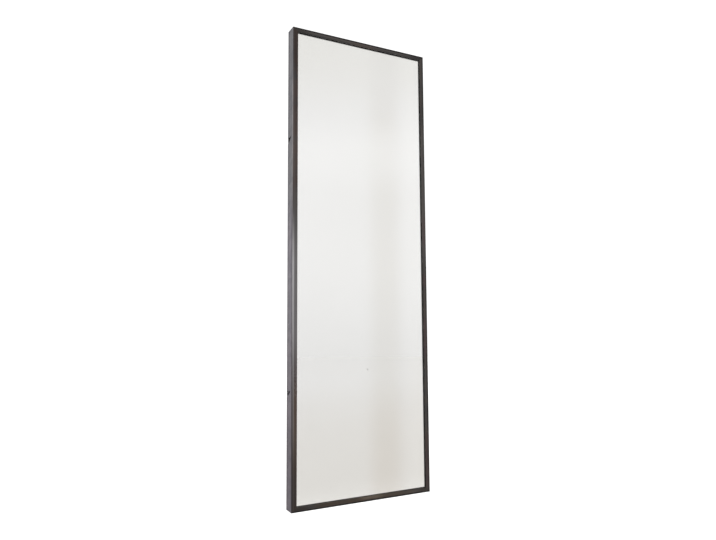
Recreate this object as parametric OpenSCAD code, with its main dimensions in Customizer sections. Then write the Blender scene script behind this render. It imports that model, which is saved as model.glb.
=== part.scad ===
// Tall wall mirror in a slim frame of folded sheet steel.
// X runs along the width, Y back into the wall and Z up: the wall plane is Y = 0, and the front faces -Y.
// The origin is on the wall plane, midway between the centres of the two keyhole entries.

/* [Frame] */
// Outside height of the frame
frame_h = 1220; // [900:10:1800]
// Outside width of the frame
frame_w = 400; // [340:10:800]
// Depth of the frame, from its front face to the wall
frame_d = 36; // [33:0.5:60]
// Width of the front face
face_w = 13.2; // [11.5:0.1:20]
// Thickness of the frame's sheet steel
sheet_t = 1.2; // [1:0.1:1.6]
// Inside radius of the fold between the front face and the side web
fold_r = 0.8; // [0.4:0.1:1]
// Rounding of the cut edges of the sheet
cut_edge_r = 0.3; // [0.1:0.05:0.4]
// Radius of the weld bead inside each corner of the frame
corner_bead_r = 1.6; // [1:0.1:1.8]

/* [Retaining ears] */
// Height of a retaining ear along the frame's rear edge
ear_h = 16; // [12:1:24]
// How far an ear's slit runs in front of the back panel's rear face
ear_bite = 7.3; // [5:0.1:8.5]
// Distance from the frame's top or bottom end to the slit of the nearer ear
ear_from_end = 288; // [100:4:400]
// Length of an ear's fold that is nipped off at each end
ear_nip = 1; // [1:0.1:2]
// Gap between a bent ear and the back panel's rear edge
ear_seat = 0.2; // [0.1:0.05:0.3]

/* [Hanger tabs] */
// Distance from the frame's side to the middle of the nearer keyhole
keyhole_from_side = 70; // [50:5:100]
// Depth of the keyhole entries' centres below the frame's top edge
entry_drop = 30; // [28:1:45]
// Radius of a keyhole's round entry
entry_r = 5; // [4:0.5:6]
// Width of a keyhole's slot
slot_w = 5.5; // [4:0.5:6]
// Distance from the entry's centre up to the centre of the slot's round end
slot_travel = 13; // [10:1:16]
// Width of a hanger tab
tab_w = 32; // [24:1:40]
// Thickness of a hanger tab
tab_t = 2; // [1.5:0.5:3]
// Radius of a hanger tab's lower corners
tab_corner_r = 6; // [2:1:9]
// Steel left below a keyhole's entry
tab_land = 9; // [6:1:14]
// Radius of the weld bead that holds a hanger tab
tab_bead_r = 1.5; // [1:0.25:2]

/* [Glazing] */
// Thickness of the clear glass
glass_t = 4; // [3:1:6]
// Thickness of the silvering and its backing paint
silvering_t = 0.1; // [0.05:0.05:0.2]
// Hairline that keeps the silvering's face clear of the back of the glass
silvering_gap = 0.02; // [0.01:0.01:0.05]
// Gap between the frame's side webs and the glass, timber and back panel inside it
insert_gap = 1.5; // [1.3:0.1:2]
// Thickness of the glazing tape behind the front face
tape_t = 0.5; // [0.5:0.1:1]
// Width of the glazing tape
tape_w = 8; // [5:0.5:8.5]
// Distance from the glass edge to the glazing tape
tape_inset = 0.5; // [0.2:0.1:0.8]
// Thickness of the foam sheet behind the glass
foam_t = 1; // [1:0.5:2]
// Length of a rubber packer between the insert and the frame
packer_l = 60; // [30:5:90]
// Distance from each frame corner to the nearest edge of a packer
packer_from_corner = 60; // [20:5:100]

/* [Timber and back panel] */
// Depth of the timber battens behind the foam
batten_d = 15; // [12:1:15]
// Width of the timber battens
batten_w = 30; // [24:1:45]
// Thickness of the back panel
panel_t = 3; // [3:0.5:4]
// Width of a staple's crown, across a batten joint
staple_w = 14; // [12:1:20]
// Depth of a staple's legs in the timber
staple_l = 9; // [6:1:10]
// Thickness of the staple wire
staple_t = 1.2; // [0.8:0.1:1.6]
// Radius of a panel pin's shank
pin_r = 0.8; // [0.6:0.1:1]
// Radius of a panel pin's head
pin_head_r = 1.8; // [1.5:0.1:2.5]
// Height of a panel pin's head above the back panel
pin_head_h = 0.5; // [0.3:0.1:0.8]
// Length of a panel pin below its head
pin_l = 13; // [10:1:14]
// Clearance around a panel pin's shank
pin_clearance = 0.05; // [0.02:0.01:0.1]
// Greatest distance between the pins along a batten
pin_pitch = 240; // [150:10:300]

/* [Hidden] */
$fn = 48;

// Colours
steel_colour = [0.27, 0.25, 0.24];
weld_colour = [0.36, 0.34, 0.33];
glass_colour = [0.80, 0.90, 0.87];
silver_colour = [0.86, 0.88, 0.88];
tape_colour = [0.12, 0.12, 0.12];
rubber_colour = [0.09, 0.09, 0.10];
foam_colour = [0.92, 0.92, 0.90];
timber_colour = [0.80, 0.66, 0.46];
panel_colour = [0.47, 0.33, 0.22];
wire_colour = [0.70, 0.70, 0.72];

// A small amount by which a cutting solid passes the face that it cuts
past = 1;

// Depths, each measured back from the front face
tape_y = sheet_t;
glass_y = tape_y + tape_t;
silvering_y = glass_y + glass_t + silvering_gap;
foam_y = silvering_y + silvering_t;
batten_y = foam_y + foam_t;
panel_y = batten_y + batten_d;
stack_d = panel_y + panel_t;

// Outline shared by the glass, the foam, the timber and the back panel
web_gap = sheet_t + insert_gap;
insert_w = frame_w - 2 * web_gap;
insert_h = frame_h - 2 * web_gap;

// An ear's slit, its fold line and the bend that brings the ear down on the back panel's edge
ear_slit = frame_d - stack_d + ear_bite;
ear_fold_l = sqrt(pow(ear_slit, 2) + pow(ear_h, 2));
ear_reach = ear_slit * ear_h / ear_fold_l;
ear_foot = pow(ear_slit, 2) / ear_fold_l;
ear_lever = (ear_bite + ear_seat) * ear_fold_l * ear_h;
ear_bend = asin(insert_gap * pow(ear_slit, 2) / sqrt(pow(ear_lever, 2) + pow(insert_gap * pow(ear_h, 2), 2)))
    + atan2(insert_gap * pow(ear_h, 2), ear_lever);
// What the bend would turn out past the frame's rear edge is trimmed off the ear's rear edge
ear_trim = sheet_t * sin(ear_bend);

// Hanger tabs
keyhole_x = frame_w / 2 - keyhole_from_side;
tab_h = entry_drop - sheet_t + entry_r + tab_land;

// Pins along each batten, in a row at mid-width
long_run = insert_h - batten_w;
short_run = insert_w - batten_w;
long_steps = ceil(long_run / pin_pitch);
short_steps = ceil(short_run / pin_pitch);
long_pins = [for (i = [0 : long_steps]) -long_run / 2 + i * long_run / long_steps];
short_pins = [for (i = [1 : short_steps - 1]) -short_run / 2 + i * short_run / short_steps];

// Puts a solid, drawn about the frame's middle and back from its front face, in its place on the wall
module in_place() {
    translate([0, -frame_d, entry_drop - frame_h / 2]) children();
}

// A copy on each side of the middle, or above and below it
module left_and_right() {
    children();
    mirror([1, 0, 0]) children();
}

module top_and_bottom() {
    children();
    mirror([0, 0, 1]) children();
}

// A rectangle whose first corner is round
module one_round_corner(size, r) {
    translate([r, 0]) square([size[0] - r, size[1]]);
    translate([0, r]) square([size[0], size[1] - r]);
    translate([r, r]) circle(r);
}

// What a round edge of radius r takes off a corner at the origin that points along +X and +Y
module edge_off(r) {
    difference() {
        translate([-r, -r]) square(r + past);
        translate([-r, -r]) circle(r);
        translate([-r - past, -r - past]) square([r + 2 * past, past]);
    }
}

// Section of a frame bar: X runs in from the side web, Y back from the front face
module bar_section() {
    difference() {
        one_round_corner([face_w, frame_d], fold_r + sheet_t);
        translate([sheet_t, sheet_t]) one_round_corner([face_w, frame_d], fold_r);
        translate([face_w, 0]) mirror([0, 1]) edge_off(cut_edge_r);
        translate([0, frame_d]) mirror([1, 0]) edge_off(cut_edge_r);
    }
}

// A frame bar with a mitre at each end, along Z from its lower outside corner
module bar(length) {
    intersection() {
        linear_extrude(length) bar_section();
        rotate([90, 0, 0]) translate([0, 0, -frame_d - past]) linear_extrude(frame_d + 2 * past)
            polygon([[-past, -past], [face_w + past, face_w + past],
                [face_w + past, length - face_w - past], [-past, length + past]]);
    }
}

// The triangle that an ear leaves open in the side web, below its slit at Z = 0
module ear_opening() {
    run = (ear_slit + past) / ear_slit;
    rotate([90, 0, 90]) translate([frame_d - ear_slit, 0, -past]) linear_extrude(sheet_t + 2 * past)
        polygon([[0, 0], [ear_slit * run, 0], [ear_slit * run, -ear_h * run]]);
}

// Section across an ear's fold, whose line is at the origin on the web's inner face: the web lies towards +Y,
// and the section runs on past the ear's tip, which its outline cuts
module ear_section() {
    tip = (ear_reach + past) * [sin(ear_bend), -cos(ear_bend)];
    across = sheet_t * [cos(ear_bend), sin(ear_bend)];
    polygon([[0, sheet_t], [0, 0], tip, tip - across, [-sheet_t, -sheet_t * tan(ear_bend / 2)], [-sheet_t, sheet_t]]);
}

// Outline of an ear and its root in the web, square to the ear's own face: the fold runs along Y
module ear_outline() {
    kept = 1 - ear_trim / ear_slit;
    near = ear_reach * ear_nip / ear_foot;
    far = ear_reach * (ear_nip - ear_trim * ear_fold_l / ear_slit) / (ear_fold_l - ear_foot);
    polygon([[sheet_t + past, ear_nip], [-near, ear_nip], kept * [-ear_reach, ear_foot],
        [-far, ear_fold_l - ear_nip], [sheet_t + past, ear_fold_l - ear_nip]]);
}

// An ear bent into the frame about its fold line, which runs from the slit's end down to the rear edge
module ear() {
    translate([sheet_t, frame_d - ear_slit, 0]) rotate([atan2(-ear_slit, -ear_h), 0, 0]) intersection() {
        translate([0, 0, ear_nip]) linear_extrude(ear_fold_l - 2 * ear_nip) ear_section();
        rotate([0, 0, ear_bend]) rotate([90, 0, 90]) translate([0, 0, -ear_reach])
            linear_extrude(2 * ear_reach) ear_outline();
    }
}

// A long side of the frame, with its two retaining ears
module stile() {
    translate([-frame_w / 2, 0, -frame_h / 2]) {
        difference() {
            bar(frame_h);
            for (z = [ear_from_end, frame_h - ear_from_end]) translate([0, 0, z]) ear_opening();
        }
        for (z = [ear_from_end, frame_h - ear_from_end]) translate([0, 0, z]) ear();
    }
}

// The top side of the frame
module rail() {
    translate([-frame_w / 2, 0, frame_h / 2]) rotate([0, 90, 0]) bar(frame_w);
}

module frame_left_stile() {
    color(steel_colour) in_place() stile();
}

module frame_right_stile() {
    color(steel_colour) in_place() mirror([1, 0, 0]) stile();
}

module frame_top_rail() {
    color(steel_colour) in_place() rail();
}

module frame_bottom_rail() {
    color(steel_colour) in_place() mirror([0, 0, 1]) rail();
}

// A quarter-round bead along Z, with its root at the origin and its round side towards +X and +Y
module bead(r, length) {
    intersection() {
        cylinder(r = r, h = length);
        cube([r, r, length]);
    }
}

module corner_welds() {
    bead_y = sheet_t + fold_r;
    color(weld_colour) in_place() left_and_right() top_and_bottom()
        translate([sheet_t - frame_w / 2, bead_y, sheet_t - frame_h / 2]) rotate([-90, 0, 0]) mirror([0, 1, 0])
            bead(corner_bead_r, frame_d - bead_y);
}

// Outline of a hanger tab: its top edge is at Y = 0 and it hangs down
module tab_outline() {
    across = tab_w - 2 * tab_corner_r;
    translate([-tab_w / 2, tab_corner_r - tab_h]) square([tab_w, tab_h - tab_corner_r]);
    translate([-across / 2, -tab_h]) square([across, tab_corner_r]);
    for (side = [-1, 1]) translate([side * across / 2, tab_corner_r - tab_h]) circle(tab_corner_r);
}

// A keyhole, with its entry's centre at the origin and its slot upwards
module keyhole() {
    circle(entry_r);
    translate([-slot_w / 2, 0]) square([slot_w, slot_travel]);
    translate([0, slot_travel]) circle(slot_w / 2);
}

// The left hanger tab, flush with the frame's rear edge under the top rail's web
module hanger_tab() {
    translate([-keyhole_x, 0, 0]) rotate([90, 0, 0]) linear_extrude(tab_t) difference() {
        translate([0, entry_drop - sheet_t]) tab_outline();
        keyhole();
    }
}

module hanger_tab_left() {
    color(steel_colour) hanger_tab();
}

module hanger_tab_right() {
    color(steel_colour) mirror([1, 0, 0]) hanger_tab();
}

module hanger_tab_welds() {
    bead_l = tab_w - 2 * tab_bead_r;
    color(weld_colour) left_and_right()
        translate([-keyhole_x - bead_l / 2, -tab_t, entry_drop - sheet_t]) rotate([90, 0, 90]) rotate([0, 0, 180])
            bead(tab_bead_r, bead_l);
}

// A flat sheet or bar about the frame's middle, given its size along X and Z, its front face and its depth
module sheet(w, h, y, d) {
    translate([-w / 2, y, -h / 2]) cube([w, d, h]);
}

// The left strip of glazing tape runs the full height, and the top one fits between the two
module tape_side() {
    translate([tape_inset + tape_w / 2 - insert_w / 2, 0, 0])
        sheet(tape_w, insert_h - 2 * tape_inset, tape_y, tape_t);
}

module tape_end() {
    translate([0, 0, insert_h / 2 - tape_inset - tape_w / 2])
        sheet(insert_w - 2 * tape_inset - 2 * tape_w, tape_w, tape_y, tape_t);
}

module glazing_tape_left() {
    color(tape_colour) in_place() tape_side();
}

module glazing_tape_right() {
    color(tape_colour) in_place() mirror([1, 0, 0]) tape_side();
}

module glazing_tape_top() {
    color(tape_colour) in_place() tape_end();
}

module glazing_tape_bottom() {
    color(tape_colour) in_place() mirror([0, 0, 1]) tape_end();
}

module mirror_glass() {
    color(glass_colour) in_place() sheet(insert_w, insert_h, glass_y, glass_t);
}

module silvering() {
    color(silver_colour) in_place() sheet(insert_w, insert_h, silvering_y, silvering_t);
}

// A packer as thick as the gap, behind the fold's radius and as deep as the glass, foam and timber
packer_y = max(glass_y, sheet_t + fold_r);
packer_d = panel_y - packer_y;
packer_place = packer_from_corner + packer_l / 2;

module bottom_packers() {
    color(rubber_colour) in_place() left_and_right()
        translate([frame_w / 2 - packer_place, 0, -(insert_h + insert_gap) / 2])
            sheet(packer_l, insert_gap, packer_y, packer_d);
}

module side_packers() {
    color(rubber_colour) in_place() left_and_right() top_and_bottom()
        translate([(insert_w + insert_gap) / 2, 0, frame_h / 2 - packer_place])
            sheet(insert_gap, packer_l, packer_y, packer_d);
}

module foam_sheet() {
    color(foam_colour) in_place() sheet(insert_w, insert_h, foam_y, foam_t);
}

// Every staple, or the slots that they make: two across each joint of the timber
module staples() {
    joint_x = insert_w / 2 - batten_w;
    for (row = [1, 3]) left_and_right() top_and_bottom()
        translate([joint_x - staple_w / 2, panel_y, insert_h / 2 - row * batten_w / 4 - staple_t / 2])
            rotate([90, 0, 0]) staple();
}

// A staple whose crown lies along X, with its legs along Z
module staple() {
    cube([staple_w, staple_t, staple_t]);
    for (x = [0, staple_w - staple_t]) translate([x, 0, 0]) cube([staple_t, staple_t, staple_l]);
}

// Every pin's place on the back panel, as seen from behind
module at_pins() {
    for (z = long_pins) left_and_right() translate([short_run / 2, stack_d, z]) rotate([90, 0, 0]) children();
    for (x = short_pins) top_and_bottom() translate([x, stack_d, long_run / 2]) rotate([90, 0, 0]) children();
}

module pin_holes() {
    at_pins() translate([0, 0, -past]) cylinder(r = pin_r + pin_clearance, h = pin_l + past);
}

module batten_side() {
    difference() {
        translate([-short_run / 2, 0, 0]) sheet(batten_w, insert_h, batten_y, batten_d);
        staples();
        pin_holes();
    }
}

module batten_end() {
    difference() {
        translate([0, 0, long_run / 2]) sheet(insert_w - 2 * batten_w, batten_w, batten_y, batten_d);
        staples();
        pin_holes();
    }
}

module batten_left() {
    color(timber_colour) in_place() batten_side();
}

module batten_right() {
    color(timber_colour) in_place() mirror([1, 0, 0]) batten_side();
}

module batten_top() {
    color(timber_colour) in_place() batten_end();
}

module batten_bottom() {
    color(timber_colour) in_place() mirror([0, 0, 1]) batten_end();
}

module corner_staples() {
    color(wire_colour) in_place() staples();
}

module back_panel() {
    color(panel_colour) in_place() difference() {
        sheet(insert_w, insert_h, panel_y, panel_t);
        pin_holes();
    }
}

module panel_pins() {
    color(wire_colour) in_place() at_pins() {
        cylinder(r = pin_r, h = pin_l);
        translate([0, 0, -pin_head_h]) cylinder(r = pin_head_r, h = pin_head_h);
    }
}

frame_left_stile();
frame_right_stile();
frame_top_rail();
frame_bottom_rail();
corner_welds();
hanger_tab_left();
hanger_tab_right();
hanger_tab_welds();
glazing_tape_left();
glazing_tape_right();
glazing_tape_top();
glazing_tape_bottom();
mirror_glass();
silvering();
bottom_packers();
side_packers();
foam_sheet();
batten_left();
batten_right();
batten_top();
batten_bottom();
corner_staples();
back_panel();
panel_pins();
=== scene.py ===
import math
from collections import namedtuple

import bpy
from mathutils import Matrix, Vector


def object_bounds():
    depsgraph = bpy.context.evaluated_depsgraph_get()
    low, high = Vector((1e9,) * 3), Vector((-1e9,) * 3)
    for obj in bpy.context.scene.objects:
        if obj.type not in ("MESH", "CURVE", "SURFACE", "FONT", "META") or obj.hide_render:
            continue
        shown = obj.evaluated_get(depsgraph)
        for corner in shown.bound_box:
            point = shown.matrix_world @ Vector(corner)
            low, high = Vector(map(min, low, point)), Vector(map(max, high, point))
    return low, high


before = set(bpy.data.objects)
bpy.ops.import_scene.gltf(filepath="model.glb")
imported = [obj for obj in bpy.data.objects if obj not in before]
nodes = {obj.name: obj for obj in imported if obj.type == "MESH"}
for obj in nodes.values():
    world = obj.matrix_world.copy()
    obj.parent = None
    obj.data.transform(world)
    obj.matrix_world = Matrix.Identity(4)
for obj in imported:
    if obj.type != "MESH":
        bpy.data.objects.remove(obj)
cad_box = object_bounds()

# Camera, fitted to the straight edges of the frame: picture and lens in pixels, angles in degrees
PICTURE_WIDTH = 716
LENS_PIXELS = 603.2
SENSOR_MM = 36.0
CAMERA_AT = (-0.748, -1.436, -0.7416)
CAMERA_YAW = 27.600
CAMERA_PITCH = 5.268
CAMERA_ROLL = -0.345

# The mirror, in metres. Each upright's side web has two slits at these heights, which run in from its wall
# edge, and an ear is folded in below each slit
FRAME_LOW, FRAME_HIGH = cad_box
HALF_WIDTH = (FRAME_HIGH.x - FRAME_LOW.x) / 2
HALF_HEIGHT = (FRAME_HIGH.z - FRAME_LOW.z) / 2
MIDDLE_HEIGHT = (FRAME_LOW.z + FRAME_HIGH.z) / 2
FRONT_Y = FRAME_LOW.y
FACE_WIDTH = 0.0132
FOLD_RADIUS = 0.002
EAR_SLITS = (-0.258, -0.902)
EAR_SLIT_LENGTH = 0.0185
EAR_HEIGHT = 0.016
# Half width of the painted shade along each ear's fold
EAR_SHADE_HALF_WIDTH = 0.005

# The one faint flaw in the silvering
FLAW_X, FLAW_Z = 0.0125, -0.8562
FLAW_RADIUS = 0.0042
FLAW_SHARE = 0.38

# The floor, and the small pieces of wall behind the ears, in metres
FLOOR_BELOW = 0.35
FLOOR_RADIUS = 14.0
FLOOR_RINGS = 24
FLOOR_SPOKES = 96
WALL_GAP = 0.0004
WALL_INSET = 0.0008

# The room that the glass reflects has a soft band, and a lighter part to the right of it. Each pair of
# angles says where an edge starts and where it is full, in degrees to the right of straight ahead. On the
# floor they fan out from the point behind the glass where it shows the camera
SEEN_FROM_X, SEEN_FROM_Y = CAMERA_AT[0], 2 * FRONT_Y - CAMERA_AT[1]
BAND_LEFT_EDGE = (27.9, 29.9)
BAND_RIGHT_EDGE = (32.3, 30.6)
LIGHTER_EDGE = (31.4, 33.0)

# A soft tall window on the left, its size in metres and its power in watts
WINDOW_AT = (-2.7, -1.25, -0.36)
WINDOW_AIM = (-0.2, -0.03, -0.55)
WINDOW_WIDTH = 0.7
WINDOW_HEIGHT = 0.9
WINDOW_POWER = 9.0
WINDOW_COLOUR = (1.0, 0.985, 0.96)

# Sockets of a Mix node that is set to colours, which share their names with those for numbers
MIX_SHARE, MIX_FIRST, MIX_SECOND = 0, 6, 7
MIX_RESULT = 2


def rgb(red, green, blue):
    """A colour as Blender's sockets take it."""
    return (red, green, blue, 1.0)


WHITE = rgb(1.0, 1.0, 1.0)

# Specular tint that paints the steel's low-angle reflection dark, as painted shade
PAINTED_DARK_SHEEN = rgb(0.29, 0.28, 0.29)

# A patch on the face of a bar, mostly wear and in one case a painted highlight: both its ends along the
# bar, how soft they are, its colour and its share
FacePatch = namedtuple("FacePatch", "span soft colour share")
LEFT_WARM = FacePatch((-0.41, -0.18), soft=0.08, colour=rgb(0.120, 0.094, 0.086), share=0.28)
LEFT_GREY = FacePatch((-0.64, -0.37), soft=0.05, colour=rgb(0.094, 0.091, 0.091), share=0.55)
LEFT_BROWN = FacePatch((-1.13, -0.84), soft=0.07, colour=rgb(0.116, 0.087, 0.069), share=0.5)
# Painted highlight of the window on the left: a lighter patch on the face at mid-height
LEFT_PAINTED_HIGHLIGHT = FacePatch((-0.92, -0.42), soft=0.17, colour=rgb(0.152, 0.145, 0.148), share=1.0)
LEFT_SCUFFED = FacePatch((-0.94, -0.83), soft=0.03, colour=rgb(0.22, 0.205, 0.21), share=0.3)
RIGHT_PALE = FacePatch((-0.62, -0.13), soft=0.10, colour=rgb(0.130, 0.121, 0.117), share=0.35)
RIGHT_RED_SPANS = ((-0.53, -0.43), (-0.65, -0.59), (-0.84, -0.71), (-1.19, -1.02))
RIGHT_RED = [FacePatch(span, soft=0.025, colour=rgb(0.086, 0.052, 0.056), share=0.3) for span in RIGHT_RED_SPANS]
TOP_WARM = FacePatch((-0.06, 0.07), soft=0.05, colour=rgb(0.098, 0.075, 0.062), share=0.4)
BOTTOM_WORN = FacePatch((-0.03, 0.07), soft=0.04, colour=rgb(0.172, 0.138, 0.110), share=0.5)


class Graph:
    """Builds one node tree with short calls. Every value may be another node's output or a plain one."""

    def __init__(self, tree):
        self.tree = tree
        tree.nodes.clear()

    def connect(self, target, socket, value):
        """Links an output to one input, or sets that input to a plain value."""
        if isinstance(value, bpy.types.NodeSocket):
            self.tree.links.new(value, target.inputs[socket])
        else:
            target.inputs[socket].default_value = value

    def feed(self, target, **inputs):
        """Connects inputs by their names, with _ for a space."""
        for name, value in inputs.items():
            self.connect(target, name.replace("_", " "), value)

    def fill(self, target, *values):
        """Connects a node's first inputs, in their order."""
        for index, value in enumerate(values):
            self.connect(target, index, value)

    def add(self, kind, **inputs):
        """A new node, with its inputs given by their names."""
        made = self.tree.nodes.new(kind)
        self.feed(made, **inputs)
        return made

    def math(self, operation, first, second=0.0, third=0.0):
        """The result of one arithmetic step."""
        made = self.add("ShaderNodeMath")
        made.operation = operation
        self.fill(made, first, second, third)
        return made.outputs["Value"]

    def product(self, *factors):
        """The product of masks and plain shares."""
        result = factors[0]
        for factor in factors[1:]:
            result = self.math("MULTIPLY", result, factor)
        return result

    def remap(self, value, low, high, to=(0.0, 1.0)):
        """A smooth step from the first number of to, at low, to the second, at high."""
        start, end = to
        made = self.add("ShaderNodeMapRange", Value=value, From_Min=low, From_Max=high)
        self.feed(made, To_Min=start, To_Max=end)
        made.interpolation_type = "SMOOTHSTEP"
        return made.outputs["Result"]

    def strip(self, value, span, soft):
        """One between the two ends of span, with soft edges inside them."""
        low, high = span
        return self.product(self.remap(value, low, low + soft), self.remap(value, high, high - soft))

    def mix(self, share, first, second):
        """A colour between first and second."""
        made = self.add("ShaderNodeMix")
        made.data_type = "RGBA"
        self.connect(made, MIX_SHARE, share)
        self.connect(made, MIX_FIRST, first)
        self.connect(made, MIX_SECOND, second)
        return made.outputs[MIX_RESULT]

    def tint(self, colour, toward, *masks):
        """A colour, changed toward another one by the product of the masks."""
        return self.mix(self.product(*masks), colour, toward)

    def axes(self, source="Object"):
        """Three numbers: the point on the piece in metres, or with Generated a direction in the world."""
        at = self.add("ShaderNodeTexCoord").outputs[source]
        return tuple(self.add("ShaderNodeSeparateXYZ", Vector=at).outputs)

    def position(self, stretch=(1.0, 1.0, 1.0), turn=0.0):
        """The point on the piece in metres, turned about Y and stretched."""
        at = self.add("ShaderNodeTexCoord").outputs["Object"]
        made = self.add("ShaderNodeMapping", Vector=at, Scale=stretch, Rotation=(0.0, turn, 0.0))
        return made.outputs["Vector"]

    def noise(self, detail, scale=1.0, stretch=(1.0, 1.0, 1.0), turn=0.0, rough=0.55, twist=0.0):
        """Cloudy noise over the piece."""
        made = self.add("ShaderNodeTexNoise", Vector=self.position(stretch, turn), Scale=scale)
        self.feed(made, Detail=detail, Roughness=rough, Distortion=twist)
        return made.outputs["Fac"]

    def cells(self, scale):
        """The distance to the nearest of many scattered points."""
        made = self.add("ShaderNodeTexVoronoi", Vector=self.position(), Scale=scale)
        return made.outputs["Distance"]

    def bump(self, height, distance):
        """A normal that follows a height, which is distance deep."""
        made = self.add("ShaderNodeBump", Height=height, Distance=distance, Strength=1.0)
        return made.outputs["Normal"]


def material(name):
    """A new material with one Principled shader, and the graph that feeds it."""
    made = bpy.data.materials.new(name)
    made.use_nodes = True
    graph = Graph(made.node_tree)
    shader = graph.add("ShaderNodeBsdfPrincipled")
    graph.add("ShaderNodeOutputMaterial", Surface=shader.outputs["BSDF"])
    return made, graph, shader


def dress(names, made):
    """Puts a material on every slot of the CAD nodes named."""
    for name in names:
        for slot in nodes[name].material_slots:
            slot.material = made


def grain(stretch, level):
    """The stretch of a grain that runs along Z, or turned to run along X on a level piece."""
    return stretch[::-1] if level else stretch


class Bar:
    """A bar of the frame in a node graph: where a point lies on it, in metres, and its steel's noises."""

    def __init__(self, graph, level):
        self.graph = graph
        x, y, self.height = graph.axes()
        self.from_wall = graph.math("MULTIPLY", y, -1.0)
        self.depth = graph.math("SUBTRACT", y, FRONT_Y)
        if level:
            self.along = x
            off_middle = graph.math("ABSOLUTE", graph.math("SUBTRACT", self.height, MIDDLE_HEIGHT))
            self.across = graph.math("SUBTRACT", HALF_HEIGHT, off_middle)
        else:
            self.along = self.height
            self.across = graph.math("SUBTRACT", HALF_WIDTH, graph.math("ABSOLUTE", x))
        self.off_arris = graph.math("ADD", self.depth, self.across)
        self.on_face = graph.remap(self.depth, FOLD_RADIUS, FOLD_RADIUS / 4)
        self.on_fold = graph.remap(self.off_arris, 0.0048, 0.0030)

        # The stretches are ripples a metre, many across the bar and few along it
        self.streaks = graph.noise(detail=3.0, stretch=grain((900.0, 900.0, 14.0), level))
        self.bands = graph.noise(detail=2.0, stretch=grain((170.0, 170.0, 2.2), level))
        self.clouds = graph.noise(detail=5.0, stretch=grain((60.0, 60.0, 5.0), level), rough=0.6)
        self.blotches = graph.noise(detail=6.0, scale=38.0, rough=0.62, twist=0.6)

    def with_patch(self, metal, patch, *masks):
        """The metal with one patch on the bar's face, weakened by the masks. One of the patches is a
        painted highlight.
        """
        in_span = self.graph.strip(self.along, patch.span, patch.soft)
        return self.graph.tint(metal, patch.colour, in_span, self.on_face, *masks, patch.share)


def burnished(bar, brown, umber):
    """Blue-black and brown patches of the burnish, the lighter streaks of the brushing, and a painted
    reflection on the side.
    """
    graph = bar.graph
    warm = graph.mix(graph.remap(bar.clouds, 0.35, 0.68), brown, umber)
    burnish = graph.mix(graph.remap(bar.blotches, 0.42, 0.72), warm, rgb(0.048, 0.047, 0.050))
    in_streak = graph.remap(bar.streaks, 0.52, 0.78, to=(0.0, 0.6))
    in_band = graph.remap(bar.bands, 0.40, 0.66, to=(0.0, 0.6))
    metal = graph.mix(in_streak, burnish, rgb(0.128, 0.117, 0.110))
    metal = graph.mix(in_band, metal, rgb(0.103, 0.092, 0.086))

    # The brushing is half as strong at the edges of the face and on the side, and the side is more even
    mid_face = graph.strip(bar.across, (0.0010, FACE_WIDTH), soft=0.0035)
    metal = graph.mix(graph.math("MULTIPLY_ADD", mid_face, -0.5, 0.5), metal, burnish)
    # Painted reflection: the side web gets a lighter, bluer metal than the face, for the brighter shine it
    # shows at a low angle
    side = graph.mix(0.62, metal, rgb(0.095, 0.093, 0.108))
    return graph.mix(bar.on_face, side, metal)


def side_web_painted_sheen(bar):
    """Painted reflection of an upright's side web seen low: streaks tinted by height, dimmer at both ends
    and by the wall.
    """
    graph = bar.graph
    # The painted reflection, tinted by height
    in_band = graph.remap(bar.bands, 0.32, 0.60)
    upper = graph.mix(in_band, rgb(0.87, 0.91, 0.91), rgb(0.95, 0.97, 0.95))
    middle = graph.mix(in_band, rgb(0.92, 0.91, 0.99), rgb(1.0, 0.98, 1.0))
    lower = graph.mix(in_band, rgb(0.93, 0.89, 0.95), rgb(1.0, 0.96, 0.99))
    sheen = graph.mix(graph.remap(bar.height, -0.34, -0.50), upper, middle)
    sheen = graph.mix(graph.remap(bar.height, -0.72, -0.86), sheen, lower)
    sheen = graph.mix(graph.remap(bar.clouds, 0.50, 0.66, to=(0.0, 0.35)), sheen, rgb(0.95, 0.98, 0.95))
    # Painted shade: the reflection is painted dimmer at both ends of the bar and beside the wall
    top_end = graph.remap(bar.height, -0.50, -0.18, to=(0.0, 0.24))
    bottom_end = graph.remap(bar.height, -0.92, -1.04, to=(0.0, 0.25))
    shade_by_wall = graph.remap(bar.from_wall, 0.0135, 0.0075, to=(0.0, 0.20))
    for dimmed in (top_end, bottom_end, shade_by_wall):
        sheen = graph.mix(dimmed, sheen, PAINTED_DARK_SHEEN)
    return sheen


def ear_fold_shade(bar, metal, sheen):
    """Painted shade along each ear's fold, which slants from the slit's inner end down to the wall edge."""
    graph = bar.graph
    slope = EAR_HEIGHT / EAR_SLIT_LENGTH
    lean = 1.0 / math.hypot(1.0, slope)
    for slit in EAR_SLITS:
        below = graph.math("SUBTRACT", slit, bar.height)
        from_slit_end = graph.math("SUBTRACT", EAR_SLIT_LENGTH, bar.from_wall)
        fold = graph.math("MULTIPLY", from_slit_end, slope)
        off_fold = graph.math("MULTIPLY", graph.math("SUBTRACT", below, fold), lean)
        beside = graph.strip(off_fold, (-EAR_SHADE_HALF_WIDTH, EAR_SHADE_HALF_WIDTH), soft=0.0035)
        inside = graph.strip(below, (-0.003, EAR_HEIGHT - 0.002), soft=0.005)
        fold_shade = graph.product(beside, inside, 0.8)
        metal = graph.mix(fold_shade, metal, rgb(0.016, 0.016, 0.017))
        sheen = graph.mix(fold_shade, sheen, PAINTED_DARK_SHEEN)
    return metal, sheen


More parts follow.
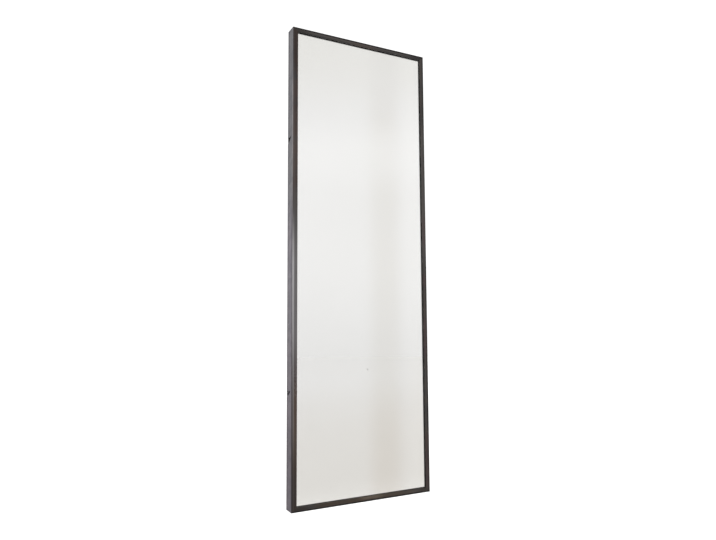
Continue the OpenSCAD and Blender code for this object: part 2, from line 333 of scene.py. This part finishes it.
def left_face_wear_and_highlight(bar, metal, uneven):
    """The left bar's face: warm high up, a painted highlight at mid-height, brown below and darker at both
    ends.
    """
    graph = bar.graph
    metal = bar.with_patch(metal, LEFT_WARM, uneven)
    metal = bar.with_patch(metal, LEFT_GREY)
    metal = bar.with_patch(metal, LEFT_BROWN, uneven)
    # Painted highlight of the window on the left, lighter at mid-height
    metal = bar.with_patch(metal, LEFT_PAINTED_HIGHLIGHT, uneven)

    # Painted highlight of the window on the left, laid on as lighter steel on the arris and in a line
    # beside it, most of all at mid-height
    begins = graph.remap(bar.height, -0.43, -0.64)
    fades = graph.remap(bar.height, -1.28, -0.42)
    lower_down = graph.remap(bar.height, -0.70, -0.58, to=(0.82, 1.0))
    painted_highlight = graph.product(begins, fades, lower_down, uneven)
    on_arris = graph.remap(bar.off_arris, 0.0036, 0.0024)
    in_line = graph.product(graph.strip(bar.across, (0.0006, 0.0053), soft=0.0018), bar.on_face)
    metal = graph.tint(metal, rgb(0.26, 0.255, 0.26), painted_highlight, on_arris)
    metal = graph.tint(metal, rgb(0.46, 0.45, 0.465), painted_highlight, in_line)

    # Scuffs in fine specks, and darker towards both ends of the bar
    specks = graph.noise(detail=3.0, stretch=(330.0, 330.0, 150.0))
    metal = bar.with_patch(metal, LEFT_SCUFFED, graph.remap(specks, 0.50, 0.62))
    bottom_end = graph.remap(bar.height, -0.98, -1.10)
    top_end = graph.remap(bar.height, -0.12, -0.03)
    darker_ends = graph.product(graph.math("MAXIMUM", bottom_end, top_end), bar.on_face)
    return graph.tint(metal, rgb(0.024, 0.020, 0.018), darker_ends, 0.5)


def left_arris_highlight_and_shade(bar, metal, sheen, uneven):
    """Beside the arris a painted highlight high up, and from mid-height down a painted shade with the fold
    in it.
    """
    graph = bar.graph
    # Painted highlight on the side web beside the arris, high up
    beside = graph.strip(bar.depth, (-0.001, 0.0085), soft=0.0025)
    light = graph.product(graph.strip(bar.height, (-0.42, -0.04), soft=0.12), beside)
    sheen = graph.tint(sheen, WHITE, light, 0.9)
    metal = graph.tint(metal, rgb(0.150, 0.138, 0.134), light, bar.on_fold, 0.5)

    # The painted shade grows stronger on its way down, and each metre its rear edge comes 9.6 mm nearer
    begins = graph.remap(bar.height, -0.36, -0.50)
    growing = graph.remap(bar.height, -0.55, -0.85, to=(0.42, 0.72))
    depth_at_middle = graph.math("SUBTRACT", bar.depth, 0.0048)
    narrowed = graph.math("MULTIPLY_ADD", bar.height, -0.0096, depth_at_middle)
    in_depth = graph.remap(narrowed, 0.0120, 0.0080)
    on_side = graph.remap(bar.across, 0.0034, 0.0018)
    dark = graph.product(begins, growing, uneven, in_depth, on_side)
    sheen = graph.mix(dark, sheen, PAINTED_DARK_SHEEN)
    metal = graph.tint(metal, rgb(0.020, 0.018, 0.018), dark, graph.remap(bar.height, -0.70, -0.95), 0.8)
    return metal, sheen


def painted_fold_shade(bar, metal, sheen):
    """Painted shade on the fold, in its colour and in its reflection, and on the rim of the face beside it.
    """
    graph = bar.graph
    sheen = graph.tint(sheen, PAINTED_DARK_SHEEN, bar.on_fold, 0.9)
    metal = graph.tint(metal, rgb(0.018, 0.018, 0.019), bar.on_fold, 0.9)
    # Painted shade on the rim of the face, beside the fold
    on_rim = graph.remap(bar.across, 0.0060, 0.0030)
    metal = graph.tint(metal, rgb(0.028, 0.025, 0.024), on_rim, bar.on_face, 0.5)
    return metal, sheen


def left_bar(bar):
    """Metal and sheen of the left bar, which hands have marked the most, with a painted highlight and
    painted shade.
    """
    uneven = bar.graph.remap(bar.clouds, 0.1, 0.55, to=(0.6, 1.0))
    metal = burnished(bar, brown=rgb(0.050, 0.038, 0.036), umber=rgb(0.072, 0.052, 0.048))
    metal = left_face_wear_and_highlight(bar, metal, uneven)
    metal, sheen = left_arris_highlight_and_shade(bar, metal, side_web_painted_sheen(bar), uneven)
    return ear_fold_shade(bar, metal, sheen)


def right_bar(bar):
    """Metal and sheen of the right bar: paler in its upper half, a little redder here and there, painted
    shade on the fold.
    """
    metal = burnished(bar, brown=rgb(0.050, 0.046, 0.043), umber=rgb(0.068, 0.060, 0.056))
    metal, sheen = painted_fold_shade(bar, metal, side_web_painted_sheen(bar))
    for patch in (RIGHT_PALE, *RIGHT_RED):
        metal = bar.with_patch(metal, patch)
    return ear_fold_shade(bar, metal, sheen)


def level_bars(bar):
    """Metal and sheen of the top and bottom bars: dark at the corners, warm or rubbed lighter in the
    middle, painted shade on the fold.
    """
    graph = bar.graph
    bottom = graph.remap(bar.height, -0.4, -0.8)
    top = graph.remap(bar.height, -0.8, -0.4)
    brown = graph.mix(bottom, rgb(0.044, 0.042, 0.040), rgb(0.046, 0.038, 0.033))
    umber = graph.mix(bottom, rgb(0.058, 0.055, 0.052), rgb(0.068, 0.054, 0.046))
    metal = burnished(bar, brown, umber)

    off_middle = graph.math("ABSOLUTE", bar.along)
    corner = graph.remap(off_middle, 0.135, 0.180, to=(0.0, 0.58))
    tanned = graph.remap(off_middle, 0.16, 0.12, to=(0.0, 0.4))
    inward = graph.remap(bar.across, 0.004, 0.010, to=(0.25, 1.0))
    metal = graph.tint(metal, rgb(0.030, 0.028, 0.027), corner)
    metal = graph.tint(metal, rgb(0.062, 0.044, 0.028), tanned, bottom)
    metal = bar.with_patch(metal, TOP_WARM, top)
    metal = bar.with_patch(metal, BOTTOM_WORN, bottom, inward)

    sheen = graph.mix(graph.remap(bar.bands, 0.32, 0.60), rgb(0.87, 0.90, 0.93), rgb(0.96, 0.95, 0.97))
    return painted_fold_shade(bar, metal, sheen)


def frame_steel(name, tones, level=False):
    """Dark burnished steel under thin lacquer, brushed along the bar. tones makes its metal and sheen."""
    made, graph, shader = material(name)
    bar = Bar(graph, level)
    metal, sheen = tones(bar)
    rough = graph.remap(bar.blotches, 0.3, 0.75, to=(0.30, 0.46))
    rough = graph.math("MULTIPLY_ADD", bar.streaks, 0.06, rough)
    relief = graph.math("MULTIPLY_ADD", bar.blotches, 1.4, bar.streaks)
    graph.feed(shader, Base_Color=metal, Metallic=1.0, Specular_Tint=sheen)
    graph.feed(shader, Roughness=rough, Normal=graph.bump(relief, distance=0.00006))
    return made


def weld_steel():
    """A rippled bead with straw and blue heat colours."""
    made, graph, shader = material("weld_steel")
    ripple = graph.add("ShaderNodeTexWave", Vector=graph.position(), Scale=260.0, Distortion=2.5)
    heat = graph.noise(detail=5.0, scale=180.0)
    colour = graph.mix(graph.remap(heat, 0.4, 0.6), rgb(0.16, 0.14, 0.13), rgb(0.11, 0.12, 0.16))
    colour = graph.mix(graph.remap(heat, 0.58, 0.75), colour, rgb(0.22, 0.16, 0.08))
    rough = graph.remap(heat, 0.3, 0.7, to=(0.38, 0.6))
    graph.feed(shader, Base_Color=colour, Metallic=1.0, Roughness=rough)
    graph.feed(shader, Normal=graph.bump(ripple.outputs["Fac"], distance=0.0003))
    return made


def clear_glass():
    """Float glass, all but colourless, with a slow and very slight change of tint."""
    made, graph, shader = material("clear_glass")
    swell = graph.noise(detail=2.0, scale=2.2)
    colour = graph.mix(graph.remap(swell, 0.3, 0.7), rgb(0.984, 0.982, 0.979), rgb(0.988, 0.986, 0.984))
    graph.feed(shader, Base_Color=colour, Roughness=0.0, IOR=1.52, Transmission_Weight=1.0)
    return made


def silver():
    """Silvering, with tiny dark specks, a breath of haze and one small faint flaw below the middle."""
    made, graph, shader = material("silver")
    speck = graph.math("LESS_THAN", graph.cells(9.0), 0.006)
    x, _, z = graph.axes()
    aside = graph.math("SUBTRACT", x, FLAW_X)
    above = graph.math("SUBTRACT", z, FLAW_Z)
    squared = graph.math("MULTIPLY_ADD", aside, aside, graph.math("MULTIPLY", above, above))
    flaw = graph.remap(graph.math("SQRT", squared), FLAW_RADIUS, 0.0, to=(0.0, FLAW_SHARE))
    haze = graph.noise(detail=3.0, scale=3.0)
    colour = graph.mix(graph.remap(haze, 0.3, 0.7), rgb(0.925, 0.925, 0.915), rgb(0.935, 0.935, 0.928))
    colour = graph.mix(graph.math("MAXIMUM", speck, flaw), colour, rgb(0.20, 0.19, 0.18))
    rough = graph.remap(haze, 0.3, 0.8, to=(0.004, 0.012))
    graph.feed(shader, Base_Color=colour, Metallic=1.0, Roughness=rough)
    return made


def glazing_tape():
    """Closed-cell foam tape with a fine open grain."""
    made, graph, shader = material("glazing_tape")
    pores = graph.noise(detail=3.0, scale=1400.0)
    colour = graph.mix(pores, rgb(0.016, 0.016, 0.016), rgb(0.044, 0.043, 0.042))
    rough = graph.remap(pores, 0.3, 0.7, to=(0.75, 0.95))
    graph.feed(shader, Base_Color=colour, Roughness=rough, Normal=graph.bump(pores, distance=0.0001))
    return made


def packer_rubber():
    """Cut sheet rubber, dusty, with fine saw marks."""
    made, graph, shader = material("packer_rubber")
    marks = graph.noise(detail=3.0, stretch=(60.0, 700.0, 60.0))
    dust = graph.noise(detail=5.0, scale=90.0)
    colour = graph.mix(marks, rgb(0.020, 0.020, 0.021), rgb(0.038, 0.038, 0.039))
    colour = graph.mix(graph.remap(dust, 0.55, 0.8, to=(0.0, 0.4)), colour, rgb(0.16, 0.155, 0.15))
    rough = graph.remap(dust, 0.3, 0.7, to=(0.6, 0.85))
    graph.feed(shader, Base_Color=colour, Roughness=rough, Normal=graph.bump(marks, distance=0.0001))
    return made


def foam_sheet():
    """White foamed sheet with small closed cells."""
    made, graph, shader = material("foam_sheet")
    cells = graph.cells(900.0)
    colour = graph.mix(cells, rgb(0.86, 0.86, 0.84), rgb(0.74, 0.74, 0.72))
    rough = graph.remap(cells, 0.0, 0.6, to=(0.7, 0.9))
    graph.feed(shader, Base_Color=colour, Roughness=rough, Normal=graph.bump(cells, distance=0.0002))
    return made


def timber(name, level=False):
    """Planed softwood with its grain along the batten, and darker late wood."""
    made, graph, shader = material(name)
    rings = graph.noise(detail=2.0, stretch=grain((55.0, 160.0, 3.0), level), rough=0.5, twist=1.2)
    fibres = graph.noise(detail=3.0, stretch=grain((900.0, 900.0, 22.0), level))
    bands = graph.math("PINGPONG", graph.math("MULTIPLY", rings, 9.0), 1.0)
    colour = graph.mix(fibres, rgb(0.60, 0.42, 0.23), rgb(0.70, 0.52, 0.31))
    colour = graph.mix(graph.remap(bands, 0.62, 1.0, to=(0.0, 0.7)), colour, rgb(0.42, 0.24, 0.11))
    rough = graph.remap(bands, 0.0, 1.0, to=(0.66, 0.5))
    graph.feed(shader, Base_Color=colour, Roughness=rough, Normal=graph.bump(fibres, distance=0.0002))
    return made


def hardboard():
    """Pressed brown fibre board: fibres, dark flecks, cloudy tone, rub marks and darker edges."""
    made, graph, shader = material("hardboard")
    flecks = graph.noise(detail=6.0, scale=240.0, turn=0.4, rough=0.72)
    fibres = graph.noise(detail=5.0, stretch=(300.0, 80.0, 70.0), turn=0.7, rough=0.65, twist=1.5)
    crossed = graph.noise(detail=5.0, stretch=(300.0, 80.0, 70.0), turn=-0.9, rough=0.65, twist=1.5)
    strands = graph.math("MAXIMUM", fibres, crossed)
    clouds = graph.noise(detail=5.0, scale=7.0, rough=0.6, twist=0.8)
    mottle = graph.noise(detail=5.0, scale=45.0, rough=0.65, twist=0.4)
    rubs = graph.noise(detail=3.0, stretch=(95.0, 10.0, 3.5), turn=0.25, rough=0.5)

    brown = graph.mix(graph.remap(clouds, 0.32, 0.66), rgb(0.104, 0.054, 0.026), rgb(0.150, 0.083, 0.043))
    brown = graph.mix(graph.remap(mottle, 0.42, 0.68, to=(0.0, 0.55)), brown, rgb(0.176, 0.102, 0.056))
    brown = graph.mix(graph.remap(strands, 0.56, 0.74, to=(0.0, 0.55)), brown, rgb(0.262, 0.160, 0.090))
    brown = graph.mix(graph.remap(flecks, 0.54, 0.68, to=(0.0, 0.75)), brown, rgb(0.052, 0.028, 0.015))
    brown = graph.mix(graph.remap(rubs, 0.62, 0.76, to=(0.0, 0.45)), brown, rgb(0.250, 0.168, 0.104))

    # Darker along the sawn edges, with a ragged border
    x, _, z = graph.axes()
    from_side = graph.math("SUBTRACT", HALF_WIDTH, graph.math("ABSOLUTE", x))
    off_middle = graph.math("ABSOLUTE", graph.math("SUBTRACT", z, MIDDLE_HEIGHT))
    from_end = graph.math("SUBTRACT", HALF_HEIGHT, off_middle)
    from_edge = graph.math("MINIMUM", from_side, from_end)
    ragged = graph.math("MULTIPLY_ADD", mottle, -0.022, from_edge)
    brown = graph.mix(graph.remap(ragged, 0.010, -0.006, to=(0.0, 0.55)), brown, rgb(0.050, 0.030, 0.019))

    rough = graph.remap(mottle, 0.3, 0.7, to=(0.40, 0.62))
    relief = graph.math("ADD", flecks, strands)
    graph.feed(shader, Base_Color=brown, Roughness=rough, Specular_IOR_Level=0.3)
    graph.feed(shader, Normal=graph.bump(relief, distance=0.00015))
    return made


def bright_wire():
    """Drawn steel wire, slightly tarnished."""
    made, graph, shader = material("bright_wire")
    tarnish = graph.noise(detail=5.0, scale=300.0)
    colour = graph.mix(graph.remap(tarnish, 0.4, 0.7), rgb(0.56, 0.55, 0.54), rgb(0.34, 0.31, 0.28))
    rough = graph.remap(tarnish, 0.3, 0.7, to=(0.22, 0.45))
    graph.feed(shader, Base_Color=colour, Metallic=1.0, Roughness=rough)
    graph.feed(shader, Normal=graph.bump(tarnish, distance=0.00005))
    return made


def dress_mirror():
    """Gives every CAD node its material."""
    upright = frame_steel("frame_steel_upright", right_bar)
    dress(["frame_left_stile"], frame_steel("frame_steel_left", left_bar))
    dress(["frame_right_stile", "hanger_tab_left", "hanger_tab_right"], upright)
    dress(["frame_top_rail", "frame_bottom_rail"], frame_steel("frame_steel_level", level_bars, level=True))
    dress(["corner_welds", "hanger_tab_welds"], weld_steel())
    dress(["mirror_glass"], clear_glass())
    dress(["silvering"], silver())
    dress([name for name in nodes if name.startswith("glazing_tape")], glazing_tape())
    dress(["bottom_packers", "side_packers"], packer_rubber())
    dress(["foam_sheet"], foam_sheet())
    dress(["batten_left", "batten_right"], timber("timber_upright"))
    dress(["batten_top", "batten_bottom"], timber("timber_level", level=True))
    dress(["back_panel"], hardboard())
    dress(["corner_staples", "panel_pins"], bright_wire())


def make_camera():
    """The camera at the photograph's place and angle."""
    yaw, pitch, roll = (math.radians(angle) for angle in (CAMERA_YAW, CAMERA_PITCH, CAMERA_ROLL))
    ahead = Vector((math.sin(yaw) * math.cos(pitch), math.cos(yaw) * math.cos(pitch), math.sin(pitch)))
    level_right = Vector((math.cos(yaw), -math.sin(yaw), 0.0))
    level_up = level_right.cross(ahead)
    right = level_right * math.cos(roll) + level_up * math.sin(roll)
    up = level_up * math.cos(roll) - level_right * math.sin(roll)
    data = bpy.data.cameras.new("camera")
    data.sensor_width = SENSOR_MM
    data.lens = LENS_PIXELS / PICTURE_WIDTH * SENSOR_MM
    camera = bpy.data.objects.new("camera", data)
    turn = Matrix((right, up, -ahead)).transposed().to_4x4()
    camera.matrix_world = Matrix.Translation(CAMERA_AT) @ turn
    bpy.context.scene.collection.objects.link(camera)
    bpy.context.scene.camera = camera


def fade(graph, angle, edge):
    """A smooth step over an angle in radians, between the two angles of an edge in degrees."""
    start, full = edge
    return graph.remap(angle, math.radians(start), math.radians(full))


def far_band(graph, angle):
    """One inside the soft band that the glass reflects, and zero on both sides of it."""
    return graph.product(fade(graph, angle, BAND_LEFT_EDGE), fade(graph, angle, BAND_RIGHT_EDGE))


def lighter_part(graph, angle):
    """One to the right of that band, where the room is a little lighter, and zero elsewhere."""
    return fade(graph, angle, LIGHTER_EDGE)


def add_mesh(name, points, faces, made):
    """A new object in the scene, of one mesh and one material."""
    mesh = bpy.data.meshes.new(name)
    mesh.from_pydata(points, [], faces)
    mesh.materials.append(made)
    added = bpy.data.objects.new(name, mesh)
    bpy.context.scene.collection.objects.link(added)
    return added


def floor_paint():
    """Whiter behind the mirror than in front of it, where the rim's tones meet those of the surround."""
    made, graph, shader = material("floor")
    x, y, _ = graph.axes()
    in_front = graph.remap(y, 0.2, -1.6)
    near = graph.remap(graph.math("ABSOLUTE", y), 7.2, 1.0)
    plain = graph.mix(near, rgb(0.635, 0.634, 0.639), rgb(0.583, 0.573, 0.560))
    banded = graph.mix(near, rgb(0.598, 0.593, 0.587), rgb(0.544, 0.521, 0.496))
    to_right = graph.math("SUBTRACT", x, SEEN_FROM_X)
    angle = graph.math("ARCTAN2", to_right, graph.math("SUBTRACT", SEEN_FROM_Y, y))
    colour = graph.tint(plain, rgb(0.700, 0.685, 0.665), lighter_part(graph, angle), 0.2)
    colour = graph.tint(colour, banded, far_band(graph, angle))
    colour = graph.mix(in_front, rgb(0.95, 0.95, 0.95), colour)
    graph.feed(shader, Base_Color=colour, Roughness=1.0, Specular_IOR_Level=0.0)
    return made


def make_floor():
    """A round pale floor, made of rings that widen outward."""
    low = FRAME_LOW.z - FLOOR_BELOW
    points = [(0.0, 0.0, low)]
    for ring in range(1, FLOOR_RINGS + 1):
        reach = FLOOR_RADIUS * (ring / FLOOR_RINGS) ** 2
        for spoke in range(FLOOR_SPOKES):
            turn = 2 * math.pi * spoke / FLOOR_SPOKES
            points.append((reach * math.cos(turn), reach * math.sin(turn), low))
    faces = [(0, 1 + spoke, 1 + (spoke + 1) % FLOOR_SPOKES) for spoke in range(FLOOR_SPOKES)]
    for ring in range(FLOOR_RINGS - 1):
        inner = 1 + ring * FLOOR_SPOKES
        outer = inner + FLOOR_SPOKES
        for spoke in range(FLOOR_SPOKES):
            following = (spoke + 1) % FLOOR_SPOKES
            faces.append((inner + spoke, outer + spoke, outer + following, inner + following))
    floor = add_mesh("floor", points, faces, floor_paint())


def shaded_wall():
    """Dark wall paint, a painted shade for the wall in the mirror's shadow, clear from behind."""
    made, graph, shader = material("wall")
    patches = graph.noise(detail=4.0, scale=120.0)
    colour = graph.mix(patches, rgb(0.060, 0.058, 0.058), rgb(0.085, 0.083, 0.082))
    graph.feed(shader, Base_Color=colour, Roughness=0.95, Specular_IOR_Level=0.1)
    clear = graph.add("ShaderNodeBsdfTransparent")
    from_behind = graph.add("ShaderNodeNewGeometry").outputs["Backfacing"]
    either = graph.add("ShaderNodeMixShader")
    graph.fill(either, from_behind, shader.outputs["BSDF"], clear.outputs["BSDF"])
    graph.feed(graph.tree.nodes["Material Output"], Surface=either.outputs["Shader"])
    return made


def make_wall_behind_ears():
    """Four small pieces of wall, painted dark as shade, that close the space behind the ears: from behind
    they don't show.
    """
    made = shaded_wall()
    behind_left = (FRAME_LOW.x + WALL_INSET, FRAME_LOW.x + EAR_SLIT_LENGTH)
    behind_right = (FRAME_HIGH.x - EAR_SLIT_LENGTH, FRAME_HIGH.x - WALL_INSET)
    places = [(span, slit) for span in (behind_left, behind_right) for slit in EAR_SLITS]
    for number, ((left, right), slit) in enumerate(places):
        low = slit - 2 * EAR_HEIGHT
        high = slit + EAR_HEIGHT
        ends = ((left, low), (right, low), (right, high), (left, high))
        corners = [(side, WALL_GAP, end) for side, end in ends]
        wall = add_mesh(f"wall_{number}", corners, [(0, 1, 2, 3)], made)
        wall.visible_shadow = False
        wall.visible_diffuse = False


def make_studio():
    """A white surround, brightest behind and overhead, with a soft band in front."""
    world = bpy.data.worlds.new("studio")
    world.use_nodes = True
    bpy.context.scene.world = world
    graph = Graph(world.node_tree)
    x, y, z = graph.axes("Generated")

    # By height: brighter just above eye level, a soft crest, a fall towards the ceiling, bright overhead
    rise = graph.remap(z, -0.10, 0.12, to=(0.868, 0.953))
    crest = graph.product(graph.remap(z, 0.20, 0.27), graph.remap(z, 0.34, 0.28))
    fall = graph.remap(z, 0.28, 0.43, to=(0.0, 0.068))
    overhead = graph.remap(z, 0.55, 0.95, to=(0.0, 0.9))
    level = graph.math("MULTIPLY_ADD", crest, 0.028, graph.math("SUBTRACT", rise, fall))
    level = graph.math("ADD", level, overhead)

    # A soft, slightly warmer band across the part that the glass reflects, weaker in the crest and high up
    angle = graph.math("ARCTAN2", x, graph.math("MULTIPLY", y, -1.0))
    in_front = graph.math("LESS_THAN", y, 0.0)
    high = graph.remap(z, 0.32, 0.42)
    kept = graph.math("MULTIPLY_ADD", graph.math("MAXIMUM", crest, high), -0.5, 1.0)
    colour = graph.mix(high, rgb(1.0, 1.0, 0.998), rgb(0.992, 0.987, 0.965))
    colour = graph.tint(colour, rgb(0.94, 0.932, 0.915), far_band(graph, angle), in_front, kept)
    level = graph.math("MULTIPLY_ADD", lighter_part(graph, angle), 0.025, level)

    # White behind the mirror, and brighter to the left
    behind = graph.remap(y, -0.1, 0.35)
    colour = graph.mix(behind, colour, WHITE)
    white = graph.product(behind, graph.remap(x, -0.08, -0.32, to=(1.12, 1.7)))
    strength = graph.math("MAXIMUM", level, white)
    background = graph.add("ShaderNodeBackground", Color=colour, Strength=strength)
    graph.add("ShaderNodeOutputWorld", Surface=background.outputs["Background"])


def make_window():
    """A soft tall light on the left, which draws the line along the left arris."""
    data = bpy.data.lights.new("window", "AREA")
    data.shape = "RECTANGLE"
    data.size = WINDOW_WIDTH
    data.size_y = WINDOW_HEIGHT
    data.energy = WINDOW_POWER
    data.color = WINDOW_COLOUR
    light = bpy.data.objects.new("window", data)
    light.location = WINDOW_AT
    light.rotation_mode = "QUATERNION"
    light.rotation_quaternion = (Vector(WINDOW_AIM) - light.location).to_track_quat("-Z", "Y")
    bpy.context.scene.collection.objects.link(light)


dress_mirror()
make_camera()
make_floor()
make_wall_behind_ears()
make_studio()
make_window()
bpy.context.scene.view_settings.view_transform = "Standard"
